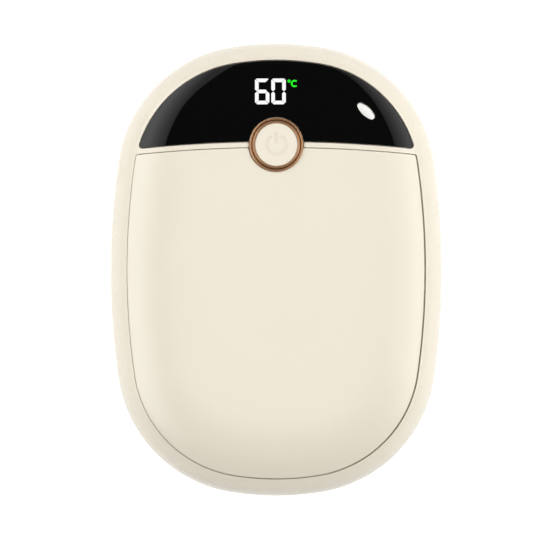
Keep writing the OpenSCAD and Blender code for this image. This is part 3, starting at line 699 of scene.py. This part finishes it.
# %% [markdown]
# The figures are light bars behind the window: six-sided strokes with thin mitred gaps, as a
# small module has them. Here each stroke is a thin sheet on the window's own skin, so it follows
# the crown and reads the same from any side.

# %% Figures and unit
figure_rise, figure_root, figure_grid = 0.015, 0.1, 0.4
stroke, gap, point_share, stroke_step = 0.80, 0.05, 0.48, 0.3
figure_low, figure_high, clip_low, clip_high = 36.48, 42.18, 0.50, 0.36
tens, ones = (-4.72, -1.55), (-1.12, 2.08)


def on_window(plan):
    """The height of a lit shape: the skin's, and a little more."""
    return skin(plan) + figure_rise


def decal(sheet, line, holes=()):
    """A flat shape laid on the window: its top, and walls that end inside the window."""
    for rim in (line, *holes):
        sheet.band([rim.row(lowered(figure_root)), rim.row(on_window)])
    sheet.cover([rim.plan for rim in (line, *holes)], on_window, figure_grid)


def straight(points):
    """Closed line through corner points, anticlockwise, with points between them."""
    points = np.array(points, float)
    start, stop, share = along_edges(points, stroke_step)
    plan = points[start] + (points[stop] - points[start]) * share
    return Line(plan, np.zeros_like(plan))


def strokes(width, height, clip):
    """The corners of each kind of stroke, measured inwards from the figure's nearest corner, of
    which the clip is cut off. A stroke across is cut at 45 degrees and loses its tips. An upright
    one is cut at its outer end in the same way, and comes to a point halfway up the figure."""
    s, middle, tip = stroke, height / 2, point_share * stroke
    across, halfway = (
        np.vstack([end, ((width, 0) + end * (-1, 1))[::-1]]) for end in (
            np.array([(s + gap, s), ((clip + gap) / 2, (clip - gap) / 2), (clip, 0)]),
            np.array([(s + gap, middle - s / 2), (s / 2 + gap, middle),
                      (s + gap, middle + s / 2)])))
    upright = np.array([
        (0, clip), ((clip - gap) / 2, (clip + gap) / 2), (s, s + gap),
        (s, middle - tip - gap), (s / 2, middle - gap), (0, middle - tip - gap)])
    return {"across": across, "upright": upright, "middle": halfway}


def figure(sheet, sides, lit):
    """A seven-bar figure between two sides, from the names of its lit bars."""
    x0, x1 = sides
    for name in lit:
        low, right_side = name in ("bottom", "lower_left", "lower_right"), name.endswith("right")
        kind = "middle" if name == "middle" else "upright" if "_" in name else "across"
        clip = clip_low if low else clip_high
        corners = strokes(x1 - x0, figure_high - figure_low, clip)[kind]
        x = x1 - corners[:, 0] if right_side else x0 + corners[:, 0]
        y = figure_low + corners[:, 1] if low else figure_high - corners[:, 1]
        decal(sheet, straight(np.column_stack([x, y])))


figures_sheet = Moulding()
figure(figures_sheet, tens,
       ["bottom", "middle", "top", "lower_left", "upper_left", "lower_right"])
figure(figures_sheet, ones,
       ["bottom", "top", "lower_left", "upper_left", "lower_right", "upper_right"])
figures = figures_sheet.piece("figures")


def stroke_arc(centre, radius, width, first, last):
    """Closed line of a bent stroke with square ends, from one angle to another in degrees."""
    ray = rays(np.radians(np.linspace(first, last, 25)))
    outer, inner = (centre + (radius + half) * ray for half in (width / 2, -width / 2))
    plan = np.vstack([outer, inner[::-1]])
    return Line(plan, np.zeros_like(plan))


unit_at, unit_r, unit_stroke = np.array([4.00, 41.08]), 0.63, 0.36
dot_at, dot_r, dot_hole_r = np.array([2.80, 41.62]), 0.34, 0.11
unit_sheet = Moulding()
decal(unit_sheet, stroke_arc(unit_at, unit_r, unit_stroke, 46, 314))
decal(unit_sheet, circle(dot_at, dot_r, 40), [circle(dot_at, dot_hole_r, 40)])
unit_mark = unit_sheet.piece("unit_mark")

# %% [markdown]
# A finish is written as arithmetic on signals. A signal wraps one output of a node, and sums and
# products of signals add the nodes for them, so that a recipe reads like a formula.

# %% Writing a finish
class Signal:
    """A number that varies over the surface."""

    def __init__(self, finish, socket):
        self.finish, self.socket = finish, socket

    def __add__(self, other):
        return self.finish.math("ADD", self, other)

    def __radd__(self, other):
        return self.finish.math("ADD", other, self)

    def __sub__(self, other):
        return self.finish.math("SUBTRACT", self, other)

    def __rsub__(self, other):
        return self.finish.math("SUBTRACT", other, self)

    def __mul__(self, other):
        return self.finish.math("MULTIPLY", self, other)

    def __rmul__(self, other):
        return self.finish.math("MULTIPLY", other, self)

    def __truediv__(self, other):
        return self.finish.math("DIVIDE", self, other)

    def __rtruediv__(self, other):
        return self.finish.math("DIVIDE", other, self)


class Finish:
    """A node tree that is filled one node at a time."""

    def __init__(self, name, owner=None):
        self.owner = owner or bpy.data.materials.new(name)
        self.owner.use_nodes = True
        self.tree = self.owner.node_tree
        self.tree.nodes.clear()

    def add(self, kind, settings=None, inputs=None, output=0):
        """One node: its settings first, then its inputs by name or number. Returns an output."""
        node = self.tree.nodes.new(kind)
        for key, value in (settings or {}).items():
            setattr(node, key, value)
        for key, value in (inputs or {}).items():
            if isinstance(value, Signal):
                self.tree.links.new(value.socket, node.inputs[key])
            else:
                node.inputs[key].default_value = value
        return Signal(self, node.outputs[output])

    def math(self, operation, *terms):
        """A function of numbers and signals, such as a sum or a sine."""
        return self.add("ShaderNodeMath", {"operation": operation}, dict(enumerate(terms)))

    def place(self):
        """The point on the surface, in the piece's own coordinates."""
        return self.add("ShaderNodeTexCoord", output="Object")

    def noise(self, size, detail, rough=0.5):
        """Cloudy noise whose blots are about the given size, in mm."""
        return self.add("ShaderNodeTexNoise", None, {
            "Vector": self.place(), "Scale": 1 / (size * MM), "Detail": detail,
            "Roughness": rough}, "Fac")

    def between(self, low, high, share):
        """A colour between two colours, of which the first may be a signal."""
        low = low if isinstance(low, Signal) else (*low, 1.0)
        return self.add("ShaderNodeMix", {"data_type": "RGBA"}, {
            0: share, 6: low, 7: (*high, 1.0)}, 2)

    def fade(self, value, start, stop, settings=None, low=0.0, high=1.0):
        """A number that runs from low to high while the value runs from start to stop."""
        return self.add("ShaderNodeMapRange", settings, {
            "Value": value, "From Min": start, "From Max": stop, "To Min": low, "To Max": high})

    def grain(self, height, depth):
        """A bump of the given depth in mm."""
        return self.add("ShaderNodeBump", None, {
            "Height": height, "Strength": 1.0, "Distance": depth * MM})

    def surface(self, **inputs):
        """The shader and the output, with each input by the socket's name."""
        names = {key.replace("_", " ").title().replace("Ior", "IOR"): value
                 for key, value in inputs.items()}
        self.add_output(self.add("ShaderNodeBsdfPrincipled", None, names))
        return self.owner

    def add_output(self, shader):
        """The node that hands the shader to the material or the world."""
        kind = "World" if isinstance(self.owner, bpy.types.World) else "Material"
        node = self.tree.nodes.new(f"ShaderNodeOutput{kind}")
        self.tree.links.new(shader.socket, node.inputs["Surface"])
        print(self.owner.name, "nodes:", len(self.tree.nodes))


SMOOTH = {"interpolation_type": "SMOOTHSTEP"}


def coat(obj, material):
    """Gives a piece its finish, in place of any it has."""
    obj.data.materials.clear()
    obj.data.materials.append(material)


# %% [markdown]
# Moulded cream plastic has a fine spark-eroded grain that breaks up its gloss, and a very slight
# cloudiness of shade from the melt. The plates' powder coat is smoother and a touch cooler.

# %% Creams
cloud_size, cloud_shift, grain_mottle = 14.0, 0.012, 0.12


def cream(name, colour, grain_size, grain_depth, roughness):
    """A cream skin, from its mean colour, the size and depth of its grain and its roughness."""
    f = Finish(name)
    cloud = f.noise(cloud_size, 3.0)
    darker, lighter = (
        tuple(c * (1 + shift) for c in colour) for shift in (-cloud_shift, cloud_shift))
    fine = f.noise(grain_size, 3.0, 0.6)
    return f.surface(
        base_color=f.between(darker, lighter, cloud),
        roughness=roughness + (fine - 0.5) * grain_mottle,
        normal=f.grain(fine, grain_depth), specular_ior_level=0.7)


housing_cream = cream("housing_cream", (0.86, 0.79, 0.655), 0.16, 0.0010, 0.27)
plate_cream = cream("plate_cream", (0.86, 0.80, 0.665), 0.10, 0.0006, 0.25)

# %% Cap: the same plastic, darker in the sunk mark
f = Finish("cap_cream")
mark = f.add("ShaderNodeAttribute", {"attribute_name": "mark"}, output="Fac")
fine = f.noise(0.12, 2.0)
cap_cream = f.surface(
    base_color=f.between((0.87, 0.80, 0.67), (0.82, 0.745, 0.615), mark),
    roughness=0.34 + mark * 0.12 + (fine - 0.5) * 0.08, normal=f.grain(fine, 0.0006))

# %% Window: gloss black, with the faint waviness of a moulded panel
f = Finish("window_black")
wave = f.noise(9.0, 1.0)
smear = f.noise(3.0, 4.0, 0.6)
window_black = f.surface(
    base_color=f.between((0.0012, 0.0012, 0.0012), (0.0020, 0.0020, 0.0020), smear),
    roughness=0.025 + smear * 0.02, normal=f.grain(wave, 0.0015), ior=1.38)

# %% Ring: copper-coloured plate over turned brass, with fine tool marks round the axis, and painted shade in the groove
tool_pitch, groove_middle, groove_shade_from, groove_shade_to = 0.045, 5.4, 0.13, 0.07
f = Finish("ring_copper")
away = f.add("ShaderNodeVectorMath", {"operation": "SUBTRACT"}, {
    0: f.place(), 1: (0.0, float(ring_c[1]) * MM, 0.0)})
flat_away = f.add("ShaderNodeVectorMath", {"operation": "MULTIPLY"}, {0: away, 1: (1, 1, 0)})
radius = f.add("ShaderNodeVectorMath", {"operation": "LENGTH"}, {0: flat_away}, "Value")
lines = f.math("SINE", radius * (math.tau / (tool_pitch * MM)))
patina = f.noise(1.6, 3.0)
# Painted shade: the groove between the beads is coloured dark brown by its radius, in place of the
# shadow that the beads cast into it.
from_groove = f.math("ABSOLUTE", radius / MM - groove_middle)
groove_shade = f.fade(from_groove, groove_shade_from, groove_shade_to, SMOOTH)
plated = f.between((0.64, 0.335, 0.165), (0.76, 0.435, 0.235), patina)
ring_copper = f.surface(
    base_color=f.between(plated, (0.18, 0.07, 0.03), groove_shade),
    roughness=0.04 + lines * 0.02 + patina * 0.04, metallic=0.72, normal=f.grain(lines, 0.0002))

# %% Lit figures
dimmest = 0.97


def lit(name, colour):
    """A black surface that glows in one colour, slightly uneven."""
    f = Finish(name)
    glow = f.noise(1.2, 1.0)
    dim = tuple(c * dimmest for c in colour)
    return f.surface(base_color=(0.01, 0.01, 0.01, 1), roughness=0.5, specular_ior_level=0.0,
                     emission_color=f.between(dim, colour, glow), emission_strength=1.0)


figure_white = lit("figure_white", (1.0, 1.0, 1.0))
unit_green = lit("unit_green", (0.012, 1.0, 0.018))


# %% [markdown]
# Inside, each material shows what its maker leaves: woven glass under the board's green mask,
# rolled foil, ground ferrite, open foam cells, amber film with its etched heater track.

# %% Inner finishes
def plain(name, low, high, size, roughness, depth=0.0, metallic=0.0):
    """A mottled surface between two colours, from the size and depth of its mottle in mm."""
    f = Finish(name)
    mottle = f.noise(size, 3.0)
    extra = {"normal": f.grain(mottle, depth)} if depth else {}
    return f.surface(base_color=f.between(low, high, mottle), metallic=metallic,
                     roughness=roughness + (mottle - 0.5) * 0.15, **extra)


# Name: darker and lighter colour, size of the mottle, roughness, depth of the mottle, metallic
MOTTLED = {
    "dark_plastic": ((0.04, 0.04, 0.042), (0.06, 0.06, 0.062), 0.3, 0.5, 0.002),
    "steel": ((0.58, 0.58, 0.60), (0.76, 0.76, 0.77), 0.8, 0.26, 0.001, 1.0),
    "foam": ((0.24, 0.24, 0.25), (0.42, 0.42, 0.43), 0.35, 0.9, 0.05),
    "chip_black": ((0.02, 0.02, 0.02), (0.04, 0.04, 0.04), 0.15, 0.55, 0.002),
    "ferrite": ((0.09, 0.09, 0.10), (0.15, 0.15, 0.16), 0.2, 0.6, 0.004),
    "capacitor_tan": ((0.44, 0.31, 0.18), (0.55, 0.40, 0.26), 0.4, 0.4),
    "nylon_white": ((0.80, 0.79, 0.75), (0.88, 0.87, 0.83), 3.0, 0.45, 0.002),
    "cell_foil": ((0.54, 0.56, 0.59), (0.68, 0.70, 0.73), 2.5, 0.32, 0.01, 1.0),
    "bead_glass": ((0.38, 0.07, 0.05), (0.50, 0.12, 0.09), 0.8, 0.12),
    "tape_clear": ((0.74, 0.70, 0.56), (0.84, 0.80, 0.66), 1.5, 0.5),
    "lead_red": ((0.52, 0.02, 0.02), (0.64, 0.04, 0.04), 1.0, 0.42),
}
INNER = {name: plain(name, *row) for name, row in MOTTLED.items()}

# %% Board and heater films: bands of weave and of track
f = Finish("board_green")
weave = f.add("ShaderNodeTexWave", {"wave_type": "BANDS", "bands_direction": "DIAGONAL"}, {
    "Vector": f.place(), "Scale": 260.0, "Distortion": 1.0}, "Fac")
INNER["board_green"] = f.surface(
    base_color=f.between((0.012, 0.13, 0.05), (0.03, 0.21, 0.09), weave),
    roughness=0.35 + weave * 0.1, normal=f.grain(weave, 0.002))
f = Finish("film_amber")
track = f.add("ShaderNodeTexWave", {"wave_type": "BANDS", "bands_direction": "X"}, {
    "Vector": f.place(), "Scale": 100.0}, "Fac")
INNER["film_amber"] = f.surface(
    base_color=f.between((0.62, 0.27, 0.05), (0.50, 0.25, 0.10), track),
    roughness=0.2 + track * 0.2)
print("inner finishes:", len(INNER))

# %% Dress the pieces
DRESSED = [
    (front_housing, "front_shell", "housing_cream", housing_cream),
    (rear_housing, "rear_shell", "housing_cream", housing_cream),
    (front_plate, "front_heat_plate", "plate_cream", plate_cream),
    (rear_plate, "rear_heat_plate", "plate_cream", plate_cream),
    (window, "display_window", "window_black", window_black),
    (button_ring, "button_ring", "ring_copper", ring_copper),
    (power_cap, "power_button", "cap_cream", cap_cream),
]
for obj, node, slot, material in DRESSED:
    coat(obj, material)
    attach(obj, "button" if obj is power_cap else "housing")
    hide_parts(node)
for obj, material in ((figures, figure_white), (unit_mark, unit_green)):
    coat(obj, material)
    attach(obj, "housing")
for part in frame["record"]["subparts"]:
    if part["material_slot"] in INNER:
        coat(frame["nodes"][part["node"]], INNER[part["material_slot"]])
print("dressed pieces:", len(DRESSED) + 2)

# %% [markdown]
# The object lies on its back on a white table, and the camera looks straight down from far away,
# as a long lens does in a catalogue picture. A flat soft box hangs over each side, and the black
# window mirrors the edges of both. A lamp over the display end and one on the right light the
# cream pieces, and no gloss mirrors them. The ceiling is dark, so that the window stays black,
# and it pales to white at the horizon, where only views from the side see it.

# %% Background rays and flat panels
def seen_rays(finish):
    """1 for the rays that show the background, which are the camera's own and those sent by gloss
    and by glass, and 0 for the rays that only gather light."""
    camera, gloss, clear = (finish.add("ShaderNodeLightPath", output=f"Is {kind} Ray")
                            for kind in ("Camera", "Glossy", "Transmission"))
    return finish.math("MAXIMUM", finish.math("MAXIMUM", camera, gloss), clear)


def flat(name, corners):
    """A flat panel, from its corners in metres."""
    mesh = bpy.data.meshes.new(name)
    mesh.from_pydata(corners, [], [tuple(range(len(corners)))])
    return added(name, mesh)


# %% Table, a hair below the rear plate, so that they never share a plane
table_half, floor, table_lift = 5.0, -0.03 * MM, 0.60
table = flat("table", [(x * table_half, y * table_half, floor)
                       for x, y in ((-1, -1), (1, -1), (1, 1), (-1, 1))])
f = Finish("table_white")
seen = seen_rays(f)
matt = f.add("ShaderNodeBsdfDiffuse", None, {"Color": (0.86, 0.86, 0.86, 1)}, "BSDF")
lift = f.add("ShaderNodeEmission", None, {"Color": (1, 1, 1, 1), "Strength": table_lift})
both = f.add("ShaderNodeAddShader", None, {0: matt, 1: lift})
f.add_output(f.add("ShaderNodeMixShader", None, {0: seen, 1: matt, 2: both}))
coat(table, f.owner)

# %% Ceiling and horizon
ceiling, horizon_light, horizon_seen, horizon_from, horizon_to = 0.06, 0.42, 1.0, 0.40, 0.05
world = bpy.context.scene.world = bpy.data.worlds.new("studio")
f = Finish("studio", world)
direction = f.add("ShaderNodeTexCoord", output="Generated")
up = f.add("ShaderNodeSeparateXYZ", None, {0: direction}, "Z")
low_sky = f.fade(up, horizon_from, horizon_to, SMOOTH)
dull, white = (
    f.add("ShaderNodeBackground", None, {
        "Color": f.between((ceiling,) * 3, (level,) * 3, low_sky), "Strength": 1.0})
    for level in (horizon_light, horizon_seen))
f.add_output(f.add("ShaderNodeMixShader", None, {0: seen_rays(f), 1: dull, 2: white}))

# %% Soft boxes
box_h, box_out = 0.5, 3.0


def soft_box(name, side, inner, dim, bright):
    """A flat panel over one side, outside a bent inner edge of (x, y), in heights of the panel.
    It is dim at its inner edge and bright further out, as a box lit from its outer end is. Dim
    and bright are each a place across and the strength there."""
    corners = inner + [(box_out, inner[-1][1]), (box_out, inner[0][1])]
    obj = flat(name, [(side * x * box_h, y * box_h, box_h) for x, y in corners])
    f = Finish(name)
    x = f.add("ShaderNodeSeparateXYZ", None, {0: f.place()}, "X") * (side / box_h)
    strength = f.fade(x, dim[0], bright[0], low=dim[1], high=bright[1])
    f.add_output(f.add("ShaderNodeEmission", None, {"Color": (1, 1, 1, 1), "Strength": strength}))
    coat(obj, f.owner)
    obj.visible_camera = False


soft_box("left_box", -1, [
    (0.78, -1.2), (0.80, 0.9), (0.73, 1.15), (0.61, 1.53), (0.45, 2.28), (0.33, 2.8)],
    (0.78, 0.75), (1.60, 2.95))
soft_box("right_box", 1, [
    (1.05, -1.2), (1.05, 1.3), (0.97, 1.88), (0.84, 2.3), (0.70, 2.8)],
    (1.03, 0.55), (2.0, 2.35))


# %% Lamps that the window does not mirror
lamp_size = 0.4


def lamp(name, tilt, azimuth, distance, energy):
    """A square lamp that points at the part, at an angle from upright and an angle in plan."""
    data = bpy.data.lights.new(name, "AREA")
    data.shape, data.size, data.energy = "SQUARE", lamp_size, energy
    obj = added(name, data)
    tilt, azimuth = math.radians(tilt), math.radians(azimuth)
    away = Vector((math.sin(tilt) * math.cos(azimuth), math.sin(tilt) * math.sin(azimuth),
                   math.cos(tilt)))
    obj.location = away * distance
    obj.rotation_euler = away.to_track_quat("Z", "Y").to_euler()
    obj.visible_glossy = obj.visible_camera = False
    print(name, "at:", [round(value, 3) for value in obj.location])


lamp("overhead", 7, 90, 0.5, 1.04)
lamp("right_fill", 48, 3, 0.8, 2.55)

# %% Camera: the frame's width in mm, over the seam, sets how high it hangs
frame_width, look_at = 118.03, (-2.18, 0.68)
lens = bpy.data.cameras.new("camera")
lens.type, lens.lens, lens.sensor_width = "PERSP", 1200.0, 36.0
lens.clip_start, lens.clip_end = 0.05, 20.0
camera = added("camera", lens)
camera.location = (look_at[0] * MM, look_at[1] * MM,
                   (seam + frame_width * lens.lens / lens.sensor_width) * MM)
bpy.context.scene.camera = camera
bpy.context.scene.view_settings.view_transform = "Standard"
print("camera height in m:", round(camera.location.z, 3))
